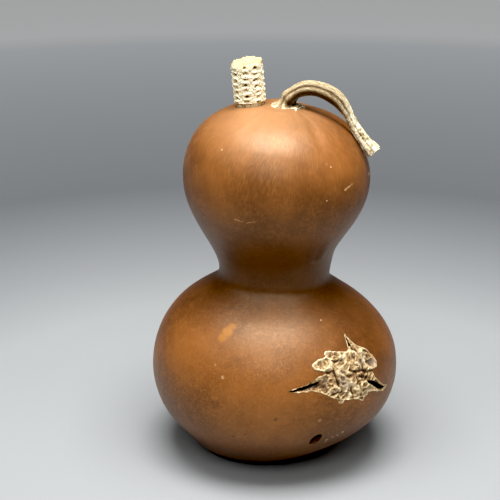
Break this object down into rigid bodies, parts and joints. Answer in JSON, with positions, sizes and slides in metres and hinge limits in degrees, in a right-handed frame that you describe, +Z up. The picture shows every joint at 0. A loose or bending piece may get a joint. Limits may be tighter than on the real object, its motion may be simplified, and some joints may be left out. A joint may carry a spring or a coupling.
{
  "type": "dried bottle gourd vessel with cob stopper",
  "caption": "Hollow two-lobed dried bottle gourd that stands on a small flat foot, with its curled dry stem, a shelled corn cob as the stopper and a corky burst low on one flank.",
  "frame": {"origin": "on the surface it stands on, under the middle of the whole part's box", "axes": "+Z up through the crown; +X towards the broken end of the stem; the burst faces -Y and +X"},
  "size_m": [0.1744, 0.1743, 0.2817],
  "materials": {
    "gourd_rind": "dried gourd rind: hard, woody, smooth and waxed by handling, satin, with fine fibres that run from the crown down",
    "dry_stem": "dry gourd stalk: pale, fibrous, ribbed, matt, darker in its grooves and underneath",
    "corn_cob": "shelled corn cob: pale, chaffy and matt, with dark empty sockets",
    "corky_scar": "healed burst in the rind: corky, pitted and matt, with pale curled rims"
  },
  "bodies": {
    "root": {"gourd": "gourd_rind", "stem": "dry_stem", "cob_stopper": "corn_cob", "burst": "corky_scar"}
  },
  "joints": []
}
